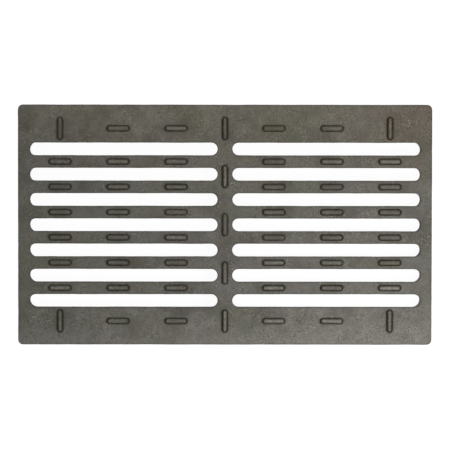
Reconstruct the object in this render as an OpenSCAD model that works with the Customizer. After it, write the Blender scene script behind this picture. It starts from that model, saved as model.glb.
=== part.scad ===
// Slotted drain grate, cast in one piece: two columns of long slots between
// solid edge strips, raised anti-slip studs on the tread and lightening
// pockets under the strips. The tread faces +Z, the underside is at z = 0,
// and the long side runs along X. All sizes are in millimetres.

/* [Panel] */
// Length of the panel
panel_l = 500; // [400:5:620]
// Width of the panel
panel_w = 290; // [230:5:360]
// Height of the casting, without its studs
panel_t = 25; // [20:0.5:35]
// Radius of the panel's corners, seen from above
corner_r = 6; // [4:0.5:12]
// Rounding of the tread's outer edge
tread_edge_r = 1; // [0.5:0.25:2.75]
// Draft of the outer walls in degrees, so that they narrow downwards
side_draft = 2; // [0:0.5:3]
// Bevel of every edge on the underside
under_bevel = 0.8; // [0.3:0.1:1.5]

/* [Slots] */
// Clear width of a slot at the tread
slot_w = 15; // [10:0.5:22]
// Width wanted for a bar between two slots
bar_w = 15.5; // [13:0.5:24]
// Solid strip between the slots and each long side
strip_w = 46; // [38:1:60]
// Web between the two columns of slots
centre_web = 18; // [14:1:30]
// Web between the slots and each end of the panel
end_web = 14; // [10:1:30]
// Draft of the slot walls in degrees, so that they open downwards
slot_draft = 4; // [1:0.5:5]
// Rounding of the slots' upper edge
slot_edge_r = 1; // [0.5:0.25:1.5]

/* [Studs] */
// Length of a stud at its foot
stud_l = 28.5; // [18:0.5:34]
// Width of a stud at its foot
stud_w = 8; // [5:0.5:9]
// Height of a stud above the tread
stud_h = 3; // [1.5:0.25:4]
// How far a stud's sides lean in between foot and crest
stud_lean = 1.5; // [0.5:0.25:2]
// Rounding between a stud's sides and its crest
stud_crest_r = 3; // [0.4:0.1:3.4]
// Fillet round a stud's foot
stud_foot_r = 0.7; // [0.3:0.1:1]
// Distance of the innermost studs of a row from the middle of the panel
stud_first_x = 59; // [40:1:75]
// Distance between studs along a row
stud_pitch_x = 70; // [45:1:110]
// Distance wanted between the studs down the middle web
stud_pitch_y = 58; // [40:1:90]
// Gap between a crosswise stud on a strip and the nearest slot
stud_slot_gap = 3; // [1.5:0.5:5]

/* [Underside pockets] */
// Thickness of the deck over the pockets
deck_t = 12; // [8:0.5:16]
// Rim between the pockets and the panel's outside
rim_w = 12; // [8:0.5:16]
// Wall between the pockets and the slots
slot_wall = 10; // [7:0.5:14]
// Rib between two pockets
rib_w = 10; // [6:0.5:20]
// Length wanted from one rib to the next
rib_pitch = 125; // [80:5:200]
// Radius of the pockets' corners
pocket_r = 5; // [3:0.5:8]
// Draft of the pocket walls in degrees
pocket_draft = 4; // [1:0.5:8]
// Fillet between the pocket walls and the deck
pocket_top_r = 2.5; // [1:0.5:3]

/* [Hidden] */
$fn = 32;
iron = [0.37, 0.36, 0.33];
// How far a cutting shape runs past the face that it opens
overcut = 1;
// How far a stud's foot reaches down into the deck
stud_root = 1;
// Narrowest flat left along the top of a stud
least_crest = 0.4;
// Steps in a rounded edge, and in the small fillet round a stud's foot
round_steps = 4;
foot_steps = 2;

// Slots: as many rows as bars of about the wanted width leave room for
slots_w = panel_w - 2 * strip_w;
slot_rows = round((slots_w + bar_w) / (slot_w + bar_w));
slot_pitch = (slots_w - slot_w) / (slot_rows - 1);
slot_l = (panel_l - 2 * end_web - centre_web) / 2;
slot_x = (centre_web + slot_l) / 2;

// Studs: as many in a row as fit over a slot's length
stud_reach_x = panel_l / 2 - end_web - stud_l / 2;
studs_per_row = floor((stud_reach_x - stud_first_x) / stud_pitch_x) + 1;
strip_stud_y = slots_w / 2 + stud_slot_gap + stud_l / 2;
middle_stud_gaps = round(2 * strip_stud_y / stud_pitch_y);

// Pockets: as many under a strip as ribs of about the wanted pitch make
pocket_count = round(panel_l / rib_pitch);
pocket_l = (panel_l - 2 * rim_w - (pocket_count - 1) * rib_w) / pocket_count;
pocket_w = strip_w - rim_w - slot_wall;
pocket_y = slots_w / 2 + slot_wall + pocket_w / 2;
pocket_depth = panel_t - deck_t;
pocket_wall_top = pocket_depth - pocket_top_r;
pocket_lean = pocket_wall_top * tan(pocket_draft);
pocket_corner_r = min(max(pocket_r, pocket_lean + pocket_top_r + 0.5), pocket_w / 2 - 0.5);

// Part of a circle of radius r from angle a to angle b, as [offset, height] points.
function arc_points(offset, height, r, a, b, steps = round_steps) =
    [for (i = [0 : steps])
        let (t = a + (b - a) * i / steps)
        [offset + r * cos(t), height + r * sin(t)]];

// A section is a list of [offset, height] points up the side of a moulded shape.
// The offset is how far the side stands outside the shape's nominal outline.

side_top = panel_t - tread_edge_r;
side_lean = (side_top - under_bevel) * tan(side_draft);
panel_section = concat(
    [[-side_lean - under_bevel, 0], [-side_lean, under_bevel]],
    arc_points(-tread_edge_r, side_top, tread_edge_r, 0, 90));

slot_top = panel_t - slot_edge_r;
slot_lean = (slot_top - under_bevel) * tan(slot_draft);
slot_section = concat(
    [[slot_lean + under_bevel, -overcut],
     [slot_lean + under_bevel, 0],
     [slot_lean, under_bevel]],
    arc_points(slot_edge_r, slot_top, slot_edge_r, 180, 90),
    [[slot_edge_r, panel_t + overcut]]);

// A stud's foot and crest are both rounded tangent to its leaning side
stud_slope = atan2(stud_lean, stud_h);
tangent_share = tan((90 - stud_slope) / 2);
crest_room = stud_w / 2 - stud_lean - least_crest / 2;
crest_rise = (stud_h - stud_foot_r) / (1 - sin(stud_slope));
crest_r = min(stud_crest_r, crest_room / tangent_share, crest_rise);
foot_reach = stud_foot_r * tangent_share;
stud_section = concat(
    [[foot_reach, -stud_root]],
    arc_points(foot_reach, stud_foot_r, stud_foot_r, -90, stud_slope - 180, foot_steps),
    arc_points(-stud_lean - crest_r * tangent_share, stud_h - crest_r, crest_r, stud_slope, 90));

pocket_section = concat(
    [[under_bevel, -overcut],
     [under_bevel, 0],
     [0, under_bevel]],
    arc_points(-pocket_lean - pocket_top_r, pocket_wall_top, pocket_top_r, 0, 90));

// A straight stretch of a section, of length l along X, with its two sides w apart.
module straight_run(section, l, w) {
    near_side = [for (p = section) [w / 2 + p[0], p[1]]];
    far_side = [for (i = [len(section) - 1 : -1 : 0]) [-w / 2 - section[i][0], section[i][1]]];
    rotate([90, 0, 90])
        linear_extrude(height = l, center = true)
            polygon(concat(near_side, far_side));
}

// A section turned through an angle from +X, about an axis at radius r inside it.
module turned_corner(section, r, angle) {
    bottom = section[0][1];
    top = section[len(section) - 1][1];
    rotate_extrude(angle = angle)
        polygon(concat([[0, bottom]], [for (p = section) [r + p[0], p[1]]], [[0, top]]));
}

// A bar with half-round ends, lying along X.
module moulded_bar(section, l, w) {
    straight_run(section, l - w, w);
    for (turn = [0, 180])
        rotate(turn) translate([(l - w) / 2, 0]) rotate(-90)
            turned_corner(section, w / 2, 180);
}

// A rectangular plate with rounded corners.
module moulded_plate(section, l, w, r) {
    straight_run(section, l - 2 * r, w);
    rotate(90) straight_run(section, w - 2 * r, l);
    for (turn = [0, 180]) rotate(turn) {
        translate([l / 2 - r, w / 2 - r]) turned_corner(section, r, 90);
        translate([r - l / 2, w / 2 - r]) rotate(90) turned_corner(section, r, 90);
    }
}

// One raised anti-slip stud on the tread, lying along X.
module stud() {
    translate([0, 0, panel_t]) moulded_bar(stud_section, stud_l, stud_w);
}

// Studs along every bar between two slots.
module bar_studs() {
    for (side = [-1, 1], i = [0 : studs_per_row - 1], row = [1 : slot_rows - 1])
        translate([side * (stud_first_x + i * stud_pitch_x), (row - slot_rows / 2) * slot_pitch])
            stud();
}

// Studs along both strips, the outermost ones crosswise.
module strip_studs() {
    for (side = [-1, 1], end = [-1, 1], i = [0 : studs_per_row - 1])
        translate([side * (stud_first_x + i * stud_pitch_x), end * strip_stud_y])
            rotate(i == studs_per_row - 1 ? 90 : 0) stud();
}

// Crosswise studs down the middle web, from one strip to the other.
module middle_studs() {
    for (i = [0 : middle_stud_gaps])
        translate([0, (2 * i / middle_stud_gaps - 1) * strip_stud_y])
            rotate(90) stud();
}

// Both columns of slots, as cutting shapes.
module slots() {
    for (side = [-1, 1], row = [0 : slot_rows - 1])
        translate([side * slot_x, (row - (slot_rows - 1) / 2) * slot_pitch])
            moulded_bar(slot_section, slot_l, slot_w);
}

// The pockets under both strips, as cutting shapes.
module pockets() {
    for (end = [-1, 1], i = [0 : pocket_count - 1])
        translate([(i - (pocket_count - 1) / 2) * (pocket_l + rib_w), end * pocket_y])
            moulded_plate(pocket_section, pocket_l, pocket_w, pocket_corner_r);
}

module grate() {
    color(iron)
        difference() {
            union() {
                moulded_plate(panel_section, panel_l, panel_w, corner_r);
                bar_studs();
                strip_studs();
                middle_studs();
            }
            slots();
            pockets();
        }
}

grate();
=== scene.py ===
"""Looks of the slotted cast-iron drain grate, seen from almost straight above.

The CAD solid is replaced by one fine mesh of the same casting, with sand-cast unevenness and
rounded feet on its studs, and a procedural skin of bare, faintly stained iron. Metres throughout.
"""

import math

import bpy
import numpy as np
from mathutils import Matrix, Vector, noise
from mathutils.geometry import delaunay_2d_cdt


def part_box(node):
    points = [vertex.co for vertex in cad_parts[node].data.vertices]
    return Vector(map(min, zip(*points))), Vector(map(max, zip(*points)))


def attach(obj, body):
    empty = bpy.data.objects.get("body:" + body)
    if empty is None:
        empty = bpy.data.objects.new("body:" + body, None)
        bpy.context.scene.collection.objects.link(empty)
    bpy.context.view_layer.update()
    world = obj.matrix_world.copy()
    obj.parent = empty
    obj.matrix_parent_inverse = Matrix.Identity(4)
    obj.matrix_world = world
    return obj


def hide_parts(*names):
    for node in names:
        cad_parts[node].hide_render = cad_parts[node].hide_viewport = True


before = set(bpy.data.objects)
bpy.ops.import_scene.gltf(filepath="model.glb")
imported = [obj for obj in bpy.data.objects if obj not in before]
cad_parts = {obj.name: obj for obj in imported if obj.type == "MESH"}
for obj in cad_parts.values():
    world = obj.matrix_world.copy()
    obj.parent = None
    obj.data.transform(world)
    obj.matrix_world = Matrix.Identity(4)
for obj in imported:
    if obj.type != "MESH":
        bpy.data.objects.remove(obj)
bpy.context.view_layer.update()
low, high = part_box("grate")

# ---------------------------------------------------------------- sizes

MM = 0.001
PANEL_L = high[0] - low[0]
PANEL_W = high[1] - low[1]
STUD_H = 3 * MM
PANEL_T = high[2] - low[2] - STUD_H

CORNER_R = 6 * MM
TREAD_EDGE_R = 1 * MM
SIDE_DRAFT = math.radians(2)
UNDER_BEVEL = 0.8 * MM

SLOT_ROWS = 7
SLOT_W = 15 * MM
STRIP_W = 46 * MM
CENTRE_WEB = 18 * MM
END_WEB = 14 * MM
SLOT_DRAFT = math.radians(4)
SLOT_EDGE_R = 1 * MM
SLOTS_W = PANEL_W - 2 * STRIP_W
SLOT_PITCH = (SLOTS_W - SLOT_W) / (SLOT_ROWS - 1)
SLOT_L = (PANEL_L - 2 * END_WEB - CENTRE_WEB) / 2
SLOT_X = (CENTRE_WEB + SLOT_L) / 2

STUD_L = 28.5 * MM
STUD_W = 8 * MM
STUD_LEAN = 1.5 * MM
STUD_CREST_R = 3 * MM
STUD_FOOT_R = 0.7 * MM
STUD_SLOT_GAP = 3 * MM
STUD_FIRST_X = 59 * MM
STUD_PITCH_X = 70 * MM
STUDS_PER_ROW = 3
STUD_XS = [STUD_FIRST_X + i * STUD_PITCH_X for i in range(STUDS_PER_ROW)]
STRIP_STUD_Y = SLOTS_W / 2 + STUD_SLOT_GAP + STUD_L / 2
MIDDLE_STUDS = 5

POCKETS = 4
DECK_T = 12 * MM
RIM_W = 12 * MM
SLOT_WALL = 10 * MM
RIB_W = 10 * MM
POCKET_R = 5 * MM
POCKET_DRAFT = math.radians(4)
POCKET_TOP_R = 2.5 * MM
POCKET_L = (PANEL_L - 2 * RIM_W - (POCKETS - 1) * RIB_W) / POCKETS
POCKET_W = STRIP_W - RIM_W - SLOT_WALL
POCKET_Y = SLOTS_W / 2 + SLOT_WALL + POCKET_W / 2

# ---------------------------------------------------------------- mesh of the casting

# Distance between mesh points on the tread, on the underside, along the walls and on the studs
TREAD_STEP = 2.3 * MM
UNDER_STEP = 3.4 * MM
WALL_STEP = 2.6 * MM
STUD_STEP = 1.5 * MM
# Fewest stretches in the quarter circle of a corner
LEAST_TURNS = 4
# Stretches up the outer wall, a slot's wall and a pocket's wall
SIDE_STEPS = 8
SLOT_STEPS = 6
POCKET_STEPS = 4
# Stretches round an edge, a stud's foot and a stud's crest
EDGE_STEPS = 4
FOOT_STEPS = 3
CREST_STEPS = 6
# First points of the rounded edges, in degrees: the top of the wall is the point at 0 or 180
SIDE_EDGE_START = 15
SLOT_EDGE_START = 160
POCKET_EDGE_START = 20

# Shifts of the points on a flat face, and how far they keep from its border and holes, in steps
SCATTER = 0.22
BORDER_GAP = 0.45
HOLE_GAP = 0.4
# Height of an equilateral triangle with sides of 1
ROW_HEIGHT = math.sqrt(0.75)
# Points nearer than this count as one
TOUCHING = 1e-9
# Triangles smaller than this, in square metres, only arise from rounding
SLIVER = 1e-9

# Dirt and painted shade at a stud's foot and in a pocket's fillet, as a share of the thickest
FOOT_DIRT_AND_SHADE = 0.1
POCKET_DIRT_AND_SHADE = 0.3
# Painted shade along a rounded edge, at its wall and at its flat face
EDGE_SHADE_SPAN = (1.0, 0.2)
# Share of dirt and painted shade on a stud's flanks, the painted shade that flanks facing along the
# panel get more of, and the painted light that leaves flanks facing its far side less dark
FLANK_DIRT_AND_SHADE = 0.85
ALONG_PAINTED_SHADE = 0.15
FAR_PAINTED_LIGHT = 0.08
# Power by which dirt and painted shade thin out away from the foot's fillet, and how much lower it
# is on flanks that face along the panel, so that the painted shade reaches further up them
DIRT_AND_SHADE_POWER = 0.9
ALONG_SHADE_POWER = 0.4
# What each stud draws by chance: times its dirt and painted shade, and wear from stained to rubbed
# bright
RING_DARKENING_RANGE = (0.85, 1.05)
WEAR_RANGE = (-1, 1)

# Unevenness that the sand mould leaves: broad sags and small lumps, set back into the metal
SAG_SIZE = 34 * MM
SAG_DEPTH = 0.16 * MM
LUMP_SIZE = 7 * MM
LUMP_DEPTH = 0.09 * MM
LUMP_SHIFT = Vector((5, 1, 3))
SET_BACK = 0.08 * MM


class Outline:
    """A rounded rectangle seen from above, which rings are drawn around."""

    def __init__(self, x, y, length, width, radius, step, turned=False):
        self.x = x
        self.y = y
        self.half_l = length / 2 - radius
        self.half_w = width / 2 - radius
        self.radius = radius
        self.turned = turned
        self.stations = self._stations(step)

    def _stations(self, step):
        """Centre of the corner's circle and outward normal of each point round the outline."""
        corners = [(1, 1), (-1, 1), (-1, -1), (1, -1)]
        stations = []
        for i, (side, end) in enumerate(corners):
            centre = Vector((side * self.half_l, end * self.half_w))
            following = corners[(i + 1) % len(corners)]
            target = Vector((following[0] * self.half_l, following[1] * self.half_w))
            turns = max(LEAST_TURNS, round(self.radius * math.pi / 2 / step))
            for k in range(turns + 1):
                angle = math.pi / 2 * (i + k / turns)
                stations.append((centre, Vector((math.cos(angle), math.sin(angle)))))
            run = (target - centre).length
            if run < TOUCHING:
                # with no straight stretch, this point is also the next corner's first
                stations.pop()
                continue
            pieces = max(1, round(run / step))
            for k in range(1, pieces):
                stations.append((centre.lerp(target, k / pieces), stations[-1][1]))
        return stations

    def points(self, offset):
        """The outline's points on the plan, moved out by offset."""
        for centre, normal in self.stations:
            x, y = centre + normal * (self.radius + offset)
            if self.turned:
                x, y = -y, x
            yield x + self.x, y + self.y

    def distance(self, xs, ys):
        """How far points lie outside the outline, negative inside it."""
        xs = xs - self.x
        ys = ys - self.y
        if self.turned:
            xs, ys = ys, xs
        over_x = np.abs(xs) - self.half_l
        over_y = np.abs(ys) - self.half_w
        outside = np.hypot(np.maximum(over_x, 0), np.maximum(over_y, 0))
        return outside + np.minimum(np.maximum(over_x, over_y), 0) - self.radius


class Casting:
    """The mesh's points and faces, and how much dirt and painted shade, painted edge shade and wear
    each point has.
    """

    def __init__(self):
        self.points = []
        self.faces = []
        self.crevice = []
        self.rim = []
        self.wear = []

    def add_point(self, x, y, z, crevice=0.0, rim=0.0):
        self.points.append((x, y, z))
        self.crevice.append(crevice)
        self.rim.append(rim)
        self.wear.append(0.0)
        return len(self.points) - 1

    def add_ring(self, outline, offset, z, crevice=0.0, rim=0.0):
        return [self.add_point(x, y, z, crevice, rim) for x, y in outline.points(offset)]

    def bridge(self, ring, following, inward=False):
        """Joins two rings with quads. Their normals point away from the outline's middle."""
        count = len(ring)
        for i in range(count):
            j = (i + 1) % count
            quad = (ring[i], ring[j], following[j], following[i])
            self.faces.append(quad[::-1] if inward else quad)

    def sweep(self, outline, section, inward=False):
        """Draws a section's rings, given as (offset, z, crevice, rim) from the bottom up."""
        rings = [self.add_ring(outline, *place) for place in section]
        for lower, upper in zip(rings, rings[1:]):
            self.bridge(lower, upper, inward)
        return rings

    def fill(self, border, holes, z, step, facing_up=True):
        """Fills a flat face. border and holes are (outline, offset, ring)."""
        index = []
        ring_of = []  # number of the ring that each point is on, or 0 on the border and inside
        edges = []
        for number, (_, _, ring) in enumerate([border] + holes):
            start = len(index)
            index += ring
            ring_of += [number] * len(ring)
            edges += [(start + k, start + (k + 1) % len(ring)) for k in range(len(ring))]
        for x, y in inner_points(border, holes, step):
            index.append(self.add_point(x, y, z))
            ring_of.append(0)
        plan = [Vector(self.points[i][:2]) for i in index]
        _, _, triangles, origin, _, _ = delaunay_2d_cdt(plan, edges, [], 0, TOUCHING)
        for triangle in triangles:
            a, b, c = (origin[k][0] for k in triangle)
            covers_hole = ring_of[a] > 0 and ring_of[a] == ring_of[b] == ring_of[c]
            area = (plan[b] - plan[a]).cross(plan[c] - plan[a]) / 2
            if covers_hole or area < SLIVER:
                continue
            face = (index[a], index[b], index[c])
            self.faces.append(face if facing_up else face[::-1])


def inner_points(border, holes, step):
    """Scattered points over a flat face, clear of its border and holes."""
    outline, offset, _ = border
    reach_x = outline.half_l + outline.radius
    reach_y = outline.half_w + outline.radius
    if outline.turned:
        reach_x, reach_y = reach_y, reach_x
    across = int(2 * reach_x / step)
    rows = int(2 * reach_y / (step * ROW_HEIGHT))
    grid_x, grid_y = np.meshgrid(np.arange(across + 1), np.arange(rows + 1))
    xs = (grid_x + 0.5 * (grid_y % 2)).ravel() * step - reach_x
    ys = grid_y.ravel() * step * ROW_HEIGHT - reach_y
    chance = np.random.default_rng(seed=7)
    xs = xs + chance.uniform(-SCATTER, SCATTER, xs.shape) * step + outline.x
    ys = ys + chance.uniform(-SCATTER, SCATTER, ys.shape) * step + outline.y
    kept = outline.distance(xs, ys) < offset - BORDER_GAP * step
    for hole, hole_offset, _ in holes:
        kept &= hole.distance(xs, ys) > hole_offset + HOLE_GAP * step
    return zip(xs[kept].tolist(), ys[kept].tolist())


def blend(ends, t):
    """The value at t, from 0 to 1, between two ends."""
    return ends[0] + (ends[1] - ends[0]) * t


def arc(offset, z, radius, start, stop, steps, crevice=(0.0, 0.0), rim=(0.0, 0.0)):
    """Section places round an arc from start to stop degrees, with dirt changing along it."""
    places = []
    for i in range(steps + 1):
        t = i / steps
        angle = math.radians(blend((start, stop), t))
        across = offset + radius * math.cos(angle)
        up = z + radius * math.sin(angle)
        places.append((across, up, blend(crevice, t), blend(rim, t)))
    return places


def drafted(bottom, top, lean, steps):
    """Section places up a straight wall between two heights, which moves out by lean."""
    heights = [bottom + (top - bottom) * i / steps for i in range(steps + 1)]
    return [(lean * i / steps, z, 0.0, 0.0) for i, z in enumerate(heights)]


def shifted(places, offset):
    """The same section places, moved out by offset."""
    return [(place[0] + offset, *place[1:]) for place in places]


def add_panel_sides(casting):
    """The outer wall. Returns what the underside and the tread are filled from."""
    outline = Outline(0, 0, PANEL_L, PANEL_W, CORNER_R, WALL_STEP)
    side_top = PANEL_T - TREAD_EDGE_R
    lean = (side_top - UNDER_BEVEL) * math.tan(SIDE_DRAFT)
    section = [(-lean - UNDER_BEVEL, 0, 0, 0)]
    section += shifted(drafted(UNDER_BEVEL, side_top, lean, SIDE_STEPS), -lean)
    section += arc(-TREAD_EDGE_R, side_top, TREAD_EDGE_R,
                   SIDE_EDGE_START, 90, EDGE_STEPS, rim=EDGE_SHADE_SPAN)
    rings = casting.sweep(outline, section)
    return (outline, section[0][0], rings[0]), (outline, section[-1][0], rings[-1])


def add_slot(casting, x, y):
    """One slot's walls. Returns the holes that it leaves in the underside and the tread."""
    outline = Outline(x, y, SLOT_L, SLOT_W, SLOT_W / 2, WALL_STEP)
    wall_top = PANEL_T - SLOT_EDGE_R
    lean = (wall_top - UNDER_BEVEL) * math.tan(SLOT_DRAFT)
    section = [(lean + UNDER_BEVEL, 0, 0, 0)]
    section += shifted(drafted(UNDER_BEVEL, wall_top, -lean, SLOT_STEPS), lean)
    section += arc(SLOT_EDGE_R, wall_top, SLOT_EDGE_R,
                   SLOT_EDGE_START, 90, EDGE_STEPS, rim=EDGE_SHADE_SPAN)
    rings = casting.sweep(outline, section, inward=True)
    return (outline, section[0][0], rings[0]), (outline, section[-1][0], rings[-1])


def add_stud(casting, x, y, turned, ring_darkening, wear):
    """One stud, with its dirt and painted shade times a chance factor. Returns the hole that it
    leaves in the tread.

    Wear says how far its crest is rubbed bright, up to 1, or how far it is stained, down to -1.
    """
    outline = Outline(x, y, STUD_L, STUD_W, STUD_W / 2, STUD_STEP, turned)
    slope = math.degrees(math.atan2(STUD_LEAN, STUD_H))
    tangent_share = math.tan(math.radians(90 - slope) / 2)
    section = arc(STUD_FOOT_R * tangent_share, PANEL_T + STUD_FOOT_R, STUD_FOOT_R,
                  -90, slope - 180, FOOT_STEPS, crevice=(FOOT_DIRT_AND_SHADE, 1.0))
    section += arc(-STUD_LEAN - STUD_CREST_R * tangent_share,
                   PANEL_T + STUD_H - STUD_CREST_R, STUD_CREST_R,
                   slope, 90, CREST_STEPS, crevice=(1.0, 0.0))
    rings = casting.sweep(outline, section)
    # Painted shade: darker flanks where they face along the panel; painted light: lighter flanks
    # where they face the far side
    for ring in rings:
        for point, (_, normal) in zip(ring, outline.stations):
            along = abs(normal[1] if turned else normal[0])
            far = normal[0] if turned else normal[1]
            amount = ring_darkening * (FLANK_DIRT_AND_SHADE + ALONG_PAINTED_SHADE * along - FAR_PAINTED_LIGHT * far)
            power = DIRT_AND_SHADE_POWER - ALONG_SHADE_POWER * along
            casting.crevice[point] = amount * casting.crevice[point] ** power
    crest = (outline, section[-1][0], rings[-1])
    casting.fill(crest, [], PANEL_T + STUD_H, STUD_STEP)
    # the last two rings and what fills them are the crest
    for point in range(rings[-2][0], len(casting.points)):
        casting.wear[point] = wear
    return outline, section[0][0], rings[0]


def add_pocket(casting, x, y):
    """One lightening pocket. Returns the hole that it leaves in the underside."""
    outline = Outline(x, y, POCKET_L, POCKET_W, POCKET_R, WALL_STEP)
    depth = PANEL_T - DECK_T
    lean = (depth - POCKET_TOP_R) * math.tan(POCKET_DRAFT)
    section = [(UNDER_BEVEL, 0, 0, 0)]
    section += drafted(UNDER_BEVEL, depth - POCKET_TOP_R, -lean, POCKET_STEPS)
    section += arc(-lean - POCKET_TOP_R, depth - POCKET_TOP_R, POCKET_TOP_R,
                   POCKET_EDGE_START, 90, EDGE_STEPS, crevice=(POCKET_DIRT_AND_SHADE, POCKET_DIRT_AND_SHADE))
    rings = casting.sweep(outline, section, inward=True)
    ceiling = (outline, section[-1][0], rings[-1])
    casting.fill(ceiling, [], depth, UNDER_STEP, facing_up=False)
    return outline, section[0][0], rings[0]


def stud_places():
    """Middle of each stud, and whether it lies crosswise."""
    for side in (-1, 1):
        for x in STUD_XS:
            for row in range(1, SLOT_ROWS):
                yield side * x, (row - SLOT_ROWS / 2) * SLOT_PITCH, False
            for end in (-1, 1):
                yield side * x, end * STRIP_STUD_Y, x == STUD_XS[-1]
    for i in range(MIDDLE_STUDS):
        yield 0, (2 * i / (MIDDLE_STUDS - 1) - 1) * STRIP_STUD_Y, True


def build_casting():
    """The whole casting's mesh: outer wall, slots, studs and pockets, then the flats between."""
    casting = Casting()
    under_border, tread_border = add_panel_sides(casting)
    under_holes = []
    tread_holes = []
    for side in (-1, 1):
        for row in range(SLOT_ROWS):
            y = (row - (SLOT_ROWS - 1) / 2) * SLOT_PITCH
            under_hole, tread_hole = add_slot(casting, side * SLOT_X, y)
            under_holes.append(under_hole)
            tread_holes.append(tread_hole)
    chance = np.random.default_rng(seed=11)
    for x, y, turned in stud_places():
        ring_darkening = chance.uniform(*RING_DARKENING_RANGE)
        wear = chance.uniform(*WEAR_RANGE)
        tread_holes.append(add_stud(casting, x, y, turned, ring_darkening, wear))
    for end in (-1, 1):
        for i in range(POCKETS):
            x = (i - (POCKETS - 1) / 2) * (POCKET_L + RIB_W)
            under_holes.append(add_pocket(casting, x, end * POCKET_Y))
    casting.fill(tread_border, tread_holes, PANEL_T, TREAD_STEP)
    casting.fill(under_border, under_holes, 0, UNDER_STEP, facing_up=False)
    return casting


def unevenness(place, octaves):
    """Noise about 0, whose finer octaves are each half as wide and half as high."""
    return noise.fractal(place, 1.0, 2.0, octaves)


def roughen(mesh):
    """Moves the points a little along their normals, and keeps them in the CAD part's box."""
    places = [vertex.co.copy() for vertex in mesh.vertices]
    normals = [vertex.normal.copy() for vertex in mesh.vertices]
    for vertex, place, normal in zip(mesh.vertices, places, normals):
        sag = unevenness(place / SAG_SIZE, 2) * SAG_DEPTH
        lumps = unevenness(place / LUMP_SIZE + LUMP_SHIFT, 3) * LUMP_DEPTH
        moved = place + normal * (sag + lumps - SET_BACK)
        vertex.co = [min(max(moved[k], low[k]), high[k]) for k in range(3)]


def make_grate():
    """The casting as a Blender object, with its dirt and painted shade, painted edge shade and wear
    as attributes for the material.
    """
    casting = build_casting()
    mesh = bpy.data.meshes.new("grate_casting")
    mesh.from_pydata(casting.points, [], casting.faces)
    mesh.update()
    layers = {"crevice": casting.crevice, "rim": casting.rim, "wear": casting.wear}
    for name, values in layers.items():
        layer = mesh.attributes.new(name, "FLOAT", "POINT")
        layer.data.foreach_set("value", values)
    roughen(mesh)
    mesh.shade_smooth()
    grate = bpy.data.objects.new("grate_casting", mesh)
    bpy.context.collection.objects.link(grate)
    print("grate_casting triangles", sum(len(p.vertices) - 2 for p in mesh.polygons))
    return grate


# ---------------------------------------------------------------- materials

class Shader:
    """A short way to write the node tree of a material or a world."""

    def __init__(self, owner):
        owner.use_nodes = True
        self.tree = owner.node_tree
        self.tree.nodes.clear()

    def node(self, kind, settings=None, **inputs):
        """A new node with its settings and inputs."""
        made = self.tree.nodes.new(kind)
        for key, value in (settings or {}).items():
            setattr(made, key, value)
        for key, value in inputs.items():
            self.put(made, key, value)
        return made

    def put(self, made, key, value):
        """Links or sets the input that key names, or numbers as i0, i1 and so on."""
        numbered = key[0] == "i" and key[1:].isdigit()
        socket = made.inputs[int(key[1:]) if numbered else key]
        if isinstance(value, bpy.types.NodeSocket):
            self.tree.links.new(value, socket)
        else:
            socket.default_value = value

    def math(self, operation, a, b=0.0):
        return self.node("ShaderNodeMath", {"operation": operation}, i0=a, i1=b).outputs[0]

    def times(self, a, b):
        return self.math("MULTIPLY", a, b)

    def levels(self, value, span, ends=(0.0, 1.0)):
        """Stretches a value from the two numbers of span to ends, and holds it beyond them."""
        made = self.node("ShaderNodeMapRange", {"clamp": True},
                         i0=value, i1=span[0], i2=span[1], i3=ends[0], i4=ends[1])
        return made.outputs[0]

    def mix(self, factor, a, b, blend_type="MIX"):
        """Colour a, with b laid over it by factor."""
        # a Mix node's colours are its inputs 6 and 7 and its output 2
        made = self.node("ShaderNodeMix", {"data_type": "RGBA", "blend_type": blend_type})
        self.put(made, "i0", factor)
        self.put(made, "i6", a)
        self.put(made, "i7", b)
        return made.outputs[2]

    def attribute(self, name):
        return self.node("ShaderNodeAttribute", {"attribute_name": name}).outputs["Fac"]

    def seen(self):
        """1 for what the camera sees, also in gloss or through glass, and 0 for other light."""
        rays = self.node("ShaderNodeLightPath").outputs
        seen = self.math("MAXIMUM", rays["Is Camera Ray"], rays["Is Glossy Ray"])
        return self.math("MAXIMUM", seen, rays["Is Transmission Ray"])


def srgb(red, green, blue):
    """A colour written as 0 to 255 screen values, as Blender's linear colour."""
    def linear(value):
        value /= 255
        return value / 12.92 if value <= 0.04045 else ((value + 0.055) / 1.055) ** 2.4
    return (linear(red), linear(green), linear(blue), 1.0)


# Colours of the iron, and of what lies on it
GREY_IRON = srgb(97, 94, 90)
OLIVE_IRON = srgb(93, 94, 81)
PALE_IRON = srgb(119, 116, 110)
DARK_IRON = srgb(72, 69, 60)
STRIP_IRON = srgb(123, 120, 114)
OLIVE_FILM = (0.96, 0.94, 0.815, 1.0)
RUST_TRACE = srgb(104, 94, 84)
RUST_BLOOM = srgb(120, 101, 90)
DARK_GRAIN = srgb(62, 59, 52)
BRIGHT_GRAIN = srgb(170, 167, 152)
POCKS = srgb(70, 67, 58)
RUBBED_CREST = srgb(152, 149, 138)
STAINED_CREST = srgb(72, 67, 56)
# Dirt and painted shade at the studs' feet and flanks and in the pockets' fillets
DIRT_AND_SHADE_COLOUR = srgb(39, 34, 19)
# Painted shade along the rounded edges
EDGE_SHADE = srgb(50, 47, 40)

# Where the mottling changes from the bars' to the strips', as distances from the middle
STRIP_START = SLOTS_W / 2 - 8 * MM
STRIP_FULL = SLOTS_W / 2 + 8 * MM
# Where the olive film begins on the far side and where it is thickest, again from the middle
FILM_START = 50 * MM
FILM_FULL = 110 * MM
# Middle of the bloom of rust in the far right corner, and how far it is thickest and reaches
BLOOM_PLACE = (PANEL_L / 2 - 25 * MM, PANEL_W / 2 - 15 * MM, PANEL_T)
BLOOM_CORE = 10 * MM
BLOOM_REACH = 105 * MM


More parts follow.
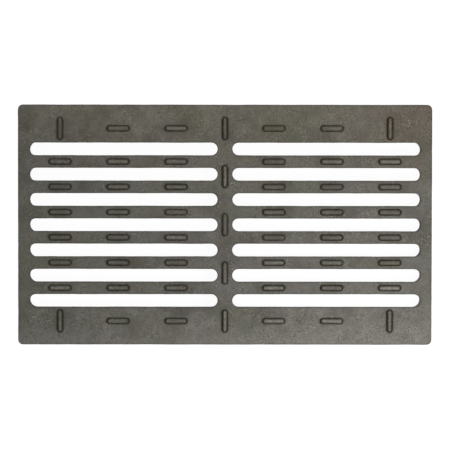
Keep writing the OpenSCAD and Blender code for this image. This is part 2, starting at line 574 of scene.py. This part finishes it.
class CastIron(Shader):
    """Bare cast iron. Stains, grain, wear, dirt and painted shade are laid over its colour one
    after another.
    """

    def __init__(self, material):
        super().__init__(material)
        self.coords = self.node("ShaderNodeTexCoord").outputs["Object"]
        self.across = self.node("ShaderNodeSeparateXYZ", Vector=self.coords).outputs["Y"]
        self.from_middle = self.math("ABSOLUTE", self.across)
        self.stain = self.speckle(90 * MM, detail=3, rough=0.55, distortion=0.6, seed=59.0)
        self.patches = self.speckle(18 * MM, detail=4, rough=0.6, distortion=0.5, seed=29.0)
        self.rust = self.speckle(24 * MM, detail=3, rough=0.6, distortion=0.8, seed=118.0)

    def speckle(self, size, detail, rough, seed, distortion=0.0):
        """Noise from 0 to 1 over the casting, whose features are about size across."""
        made = self.node("ShaderNodeTexNoise", {"noise_dimensions": "4D"},
                         Vector=self.coords, W=seed, Scale=1 / size,
                         Detail=detail, Roughness=rough, Distortion=distortion)
        return made.outputs["Fac"]

    def towards_strips(self, on_bars, on_strips):
        """A value that changes from the bars to the strips along both long sides."""
        return self.levels(self.from_middle, (STRIP_START, STRIP_FULL), (on_bars, on_strips))

    def mottled(self):
        """Brown-grey iron with broad olive stains and patches, which are calmer on the bars."""
        colour = self.mix(self.levels(self.stain, (0.38, 0.62)), GREY_IRON, OLIVE_IRON)
        palest = (self.towards_strips(0.2, 0.0), self.towards_strips(0.5, 0.95))
        colour = self.mix(self.levels(self.patches, (0.42, 0.68), palest), colour, PALE_IRON)
        shade = self.speckle(30 * MM, detail=4, rough=0.55, distortion=0.4, seed=20.0)
        darkest = (0.0, self.towards_strips(0.66, 0.75))
        return self.mix(self.levels(shade, (0.46, 0.68), darkest), colour, DARK_IRON)

    def rusted(self, colour):
        """A trace of rust here and there."""
        return self.mix(self.levels(self.rust, (0.53, 0.7), (0.0, 0.42)), colour, RUST_TRACE)

    def lightened_strips(self, colour):
        """Both strips a little lighter than the bars, the near one most."""
        near = self.levels(self.across, (-SLOTS_W / 2, -PANEL_W / 2), (0.0, 0.45))
        both = self.levels(self.from_middle, (SLOTS_W / 2, PANEL_W / 2), (0.0, 0.45))
        strip_lift = self.times(self.math("ADD", near, both),
                           self.levels(self.patches, (0.3, 0.55), (0.4, 1.0)))
        return self.mix(strip_lift, colour, STRIP_IRON)

    def filmed(self, colour):
        """An olive film towards the far side."""
        film = self.times(self.levels(self.across, (FILM_START, FILM_FULL)),
                          self.levels(self.stain, (0.3, 0.6), (0.5, 1.0)))
        return self.mix(film, colour, OLIVE_FILM, "MULTIPLY")

    def bloomed(self, colour):
        """A bloom of rust in the far right corner."""
        reach = self.node("ShaderNodeVectorMath", {"operation": "DISTANCE"},
                          i0=self.coords, i1=BLOOM_PLACE).outputs["Value"]
        bloom = self.times(self.levels(reach, (BLOOM_CORE, BLOOM_REACH), (0.38, 0.0)),
                           self.levels(self.rust, (0.35, 0.6), (0.5, 1.0)))
        return self.mix(bloom, colour, RUST_BLOOM)

    def grained(self, colour):
        """Darker and lighter specks of the sand mould, sandier in some places."""
        sandy = self.speckle(26 * MM, detail=3, rough=0.5, seed=28.0)
        grain = self.speckle(1.2 * MM, detail=2, rough=0.6, seed=4.0)
        dark = self.times(self.levels(grain, (0.36, 0.48), (0.8, 0.0)),
                          self.levels(sandy, (0.4, 0.58), (0.45, 1.0)))
        colour = self.mix(dark, colour, DARK_GRAIN)
        specks = self.speckle(1.2 * MM, detail=2, rough=0.6, seed=5.0)
        bright = self.times(self.levels(specks, (0.6, 0.68)),
                            self.levels(sandy, (0.42, 0.6), (0.1, 0.85)))
        return self.mix(bright, colour, BRIGHT_GRAIN)

    def pocked(self, colour):
        """Dark pocks, strongest in the pale patches."""
        pocks = self.speckle(2.6 * MM, detail=3, rough=0.7, seed=11.0)
        bitten = self.times(self.levels(pocks, (0.36, 0.44), (1.0, 0.0)),
                            self.levels(self.patches, (0.35, 0.6), (0.15, 0.75)))
        return self.mix(bitten, colour, POCKS)

    def trodden(self, colour):
        """Crests that feet have rubbed bright, in streaks, or that are still stained."""
        wear = self.attribute("wear")
        streaks = self.speckle(4 * MM, detail=3, rough=0.6, seed=12.0)
        rubbed = self.times(self.levels(wear, (0.0, 1.0)),
                            self.levels(streaks, (0.42, 0.6), (0.05, 0.55)))
        colour = self.mix(rubbed, colour, RUBBED_CREST)
        stained = self.times(self.levels(wear, (0.0, -1.0)),
                             self.levels(self.patches, (0.3, 0.6), (0.7, 0.3)))
        return self.mix(stained, colour, STAINED_CREST)

    def dirtied_and_shaded(self, colour):
        """Dirt and painted shade held at the studs' feet, ragged at its edge, and painted shade
        along the rounded edges.
        """
        ragged = self.speckle(5 * MM, detail=3, rough=0.6, seed=7.0)
        # Dirt and painted shade round the studs and in the pockets, from the crevice attribute
        darkness = self.times(self.attribute("crevice"),
                           self.levels(ragged, (0.3, 0.7), (0.75, 1.35)))
        colour = self.mix(self.levels(darkness, (0.05, 0.9)), colour, DIRT_AND_SHADE_COLOUR)
        # Painted shade along the rounded edges, from the rim attribute
        return self.mix(self.times(self.attribute("rim"), 0.85), colour, EDGE_SHADE)

    def relief(self):
        """Normals of what is too fine for the mesh: sand grain and small pits."""
        pits = self.node("ShaderNodeTexVoronoi", {"feature": "F1"},
                         Vector=self.coords, Scale=1 / (5 * MM), Randomness=1.0)
        pit = self.levels(pits.outputs["Distance"], (0.0, 0.16), (1.0, 0.0))
        coarse = self.speckle(2.6 * MM, detail=3, rough=0.6, seed=9.0)
        fine = self.speckle(0.8 * MM, detail=2, rough=0.6, seed=10.0)
        grain = self.math("ADD", self.times(coarse, 0.7), self.times(fine, 0.3))
        height = self.math("SUBTRACT", grain, self.times(pit, 0.5))
        bump = self.node("ShaderNodeBump", Height=height, Strength=0.55, Distance=0.35 * MM)
        return bump.outputs[0]


def cast_iron():
    """The grate's skin. Its layers of colour lie one over another in this order."""
    material = bpy.data.materials.new("bare_cast_iron")
    iron = CastIron(material)
    colour = iron.mottled()
    for layer in (iron.rusted, iron.lightened_strips, iron.filmed, iron.bloomed,
                  iron.grained, iron.pocked, iron.trodden, iron.dirtied_and_shaded):
        colour = layer(colour)
    dull = iron.speckle(6 * MM, detail=4, rough=0.6, seed=8.0)
    surface = {"Base Color": colour, "Roughness": iron.levels(dull, (0.3, 0.7), (0.56, 0.72)),
               "Metallic": 0.25, "Specular IOR Level": 0.35, "Normal": iron.relief()}
    skin = iron.node("ShaderNodeBsdfPrincipled", **surface)
    iron.node("ShaderNodeOutputMaterial", Surface=skin.outputs[0])
    return material


# The floor's own grey takes the shadow, and a glow whitens it where seen() is 1
FLOOR_GREY = srgb(115, 115, 115)
FLOOR_GLOW = 0.95
WHITE = (1, 1, 1, 1)


def pale_floor():
    """A white floor that still takes the grate's shadow."""
    material = bpy.data.materials.new("pale_floor")
    shader = Shader(material)
    lit = shader.node("ShaderNodeBsdfDiffuse", Color=FLOOR_GREY)
    glow = shader.node("ShaderNodeEmission", Color=WHITE,
                       Strength=shader.times(shader.seen(), FLOOR_GLOW))
    both = shader.node("ShaderNodeAddShader", i0=lit.outputs[0], i1=glow.outputs[0])
    shader.node("ShaderNodeOutputMaterial", Surface=both.outputs[0])
    return material


# ---------------------------------------------------------------- stage, light and camera

# Half the floor's side, and the side of a softbox
FLOOR_HALF = 6.0
SOFTBOX_SIZE = 0.4
# Strength of the even light from all round, and of the white that is seen behind the grate
AMBIENT = 0.343
BACKDROP = 1.0


def make_floor():
    corners = [(x * FLOOR_HALF, y * FLOOR_HALF, 0) for x, y in ((-1, -1), (1, -1), (1, 1), (-1, 1))]
    mesh = bpy.data.meshes.new("floor")
    mesh.from_pydata(corners, [], [(0, 1, 2, 3)])
    floor = bpy.data.objects.new("floor", mesh)
    floor.location.z = low[2]
    floor.data.materials.append(pale_floor())
    bpy.context.collection.objects.link(floor)


def make_world():
    """Even light from all round. The camera, gloss and glass see a backdrop of pure white."""
    world = bpy.data.worlds.new("studio")
    shader = Shader(world)
    ambient = shader.node("ShaderNodeBackground", Color=WHITE, Strength=AMBIENT)
    backdrop = shader.node("ShaderNodeBackground", Color=WHITE, Strength=BACKDROP)
    choice = shader.node("ShaderNodeMixShader", i0=shader.seen(),
                         i1=ambient.outputs[0], i2=backdrop.outputs[0])
    shader.node("ShaderNodeOutputWorld", Surface=choice.outputs[0])
    bpy.context.scene.world = world


def add_softbox(name, place, watts):
    """A square lamp that the camera doesn't see, aimed at the middle of the panel."""
    lamp = bpy.data.lights.new(name, "AREA")
    lamp.shape = "SQUARE"
    lamp.size = SOFTBOX_SIZE
    lamp.energy = watts
    softbox = bpy.data.objects.new(name, lamp)
    softbox.location = place
    softbox.rotation_euler = (-Vector(place)).to_track_quat("-Z", "Y").to_euler()
    softbox.visible_camera = False
    bpy.context.collection.objects.link(softbox)


def make_camera():
    """Looks down on the tread, a touch from the side of the panel's far long edge."""
    distance = 2.0
    tilt = math.radians(1.3)
    roll = math.radians(0.06)
    shift = 0.2 * MM
    frame_share = 0.9203
    camera = bpy.data.cameras.new("camera")
    camera.sensor_width = 36
    camera.lens = camera.sensor_width * distance / (PANEL_L / frame_share)
    viewer = bpy.data.objects.new("camera", camera)
    viewer.location = (0, distance * math.sin(tilt) - shift, PANEL_T + distance * math.cos(tilt))
    viewer.rotation_euler = (-tilt, 0, roll)
    bpy.context.collection.objects.link(viewer)
    bpy.context.scene.camera = viewer


bpy.context.scene.view_settings.view_transform = "Standard"
grate = make_grate()
grate.data.materials.append(cast_iron())
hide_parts("grate")
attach(grate, "root")

make_floor()
make_world()
add_softbox("key_softbox", place=(0.28, -0.21, 0.4), watts=1.5)
add_softbox("fill_softbox", place=(-0.05, 0.4, 0.5), watts=0.5)
make_camera()
